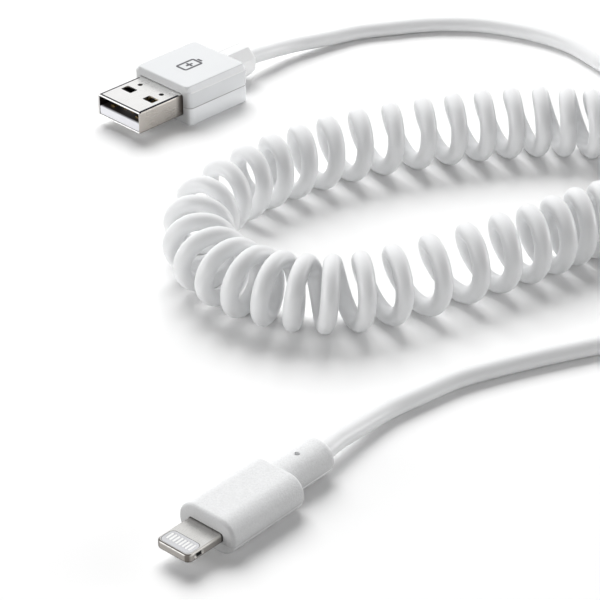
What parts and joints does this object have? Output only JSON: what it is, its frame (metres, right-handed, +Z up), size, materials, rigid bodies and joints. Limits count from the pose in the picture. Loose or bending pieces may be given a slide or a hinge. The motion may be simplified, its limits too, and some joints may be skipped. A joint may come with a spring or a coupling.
{
  "type": "charging cable",
  "caption": "Curly white charging cable with a flat metal host plug at one end and a small reversible tab plug at the other.",
  "frame": {"origin": "on the surface the cable lies on, under the middle of the box round the two plugs", "axes": "+Z up, +Y from the device plug to the host plug, +X towards the open ends of the curls"},
  "size_m": [0.1214, 0.1878, 0.0137],
  "materials": {
    "plug_steel": "satin",
    "insulator_white": "matte",
    "contact_gold": "satin",
    "tinned_steel": "satin",
    "wire_red": "matte",
    "wire_white": "matte",
    "wire_green": "matte",
    "wire_black": "matte",
    "gloss_white": "gloss",
    "collar_white": "satin",
    "jacket_white": "satin",
    "satin_white": "fine textured",
    "board_green": "satin",
    "chip_black": "matte",
    "tab_nickel": "satin",
    "insert_grey": "matte",
    "contact_plate": "bright"
  },
  "bodies": {
    "root": {"host_shell": "plug_steel", "host_insulator": "insulator_white", "host_contact_1": "contact_gold", "host_contact_2": "contact_gold", "host_contact_3": "contact_gold", "host_contact_4": "contact_gold", "host_shield_can_top": "tinned_steel", "host_shield_can_bottom": "tinned_steel", "host_crimp_ring": "tinned_steel", "host_wire_1": "wire_red", "host_wire_2": "wire_white", "host_wire_3": "wire_green", "host_wire_4": "wire_black", "host_cover_top": "gloss_white", "host_cover_bottom": "gloss_white", "host_collar": "collar_white", "host_lead": "jacket_white", "curly_cord": "jacket_white", "device_lead": "jacket_white", "device_strain_relief": "satin_white", "device_cover_top": "satin_white", "device_cover_bottom": "satin_white", "device_crimp_ring": "tinned_steel", "device_shield_can": "tinned_steel", "device_wire_1": "wire_red", "device_wire_2": "wire_white", "device_wire_3": "wire_green", "device_wire_4": "wire_black", "device_board": "board_green", "device_control_chip": "chip_black", "device_power_chip": "chip_black", "device_tab": "tab_nickel", "device_contact_insert": "insert_grey", "device_contact_top_1": "contact_plate", "device_contact_top_2": "contact_plate", "device_contact_top_3": "contact_plate", "device_contact_top_4": "contact_plate", "device_contact_top_5": "contact_plate", "device_contact_top_6": "contact_plate", "device_contact_top_7": "contact_plate", "device_contact_top_8": "contact_plate", "device_contact_bottom_1": "contact_plate", "device_contact_bottom_2": "contact_plate", "device_contact_bottom_3": "contact_plate", "device_contact_bottom_4": "contact_plate", "device_contact_bottom_5": "contact_plate", "device_contact_bottom_6": "contact_plate", "device_contact_bottom_7": "contact_plate", "device_contact_bottom_8": "contact_plate"}
  },
  "joints": []
}
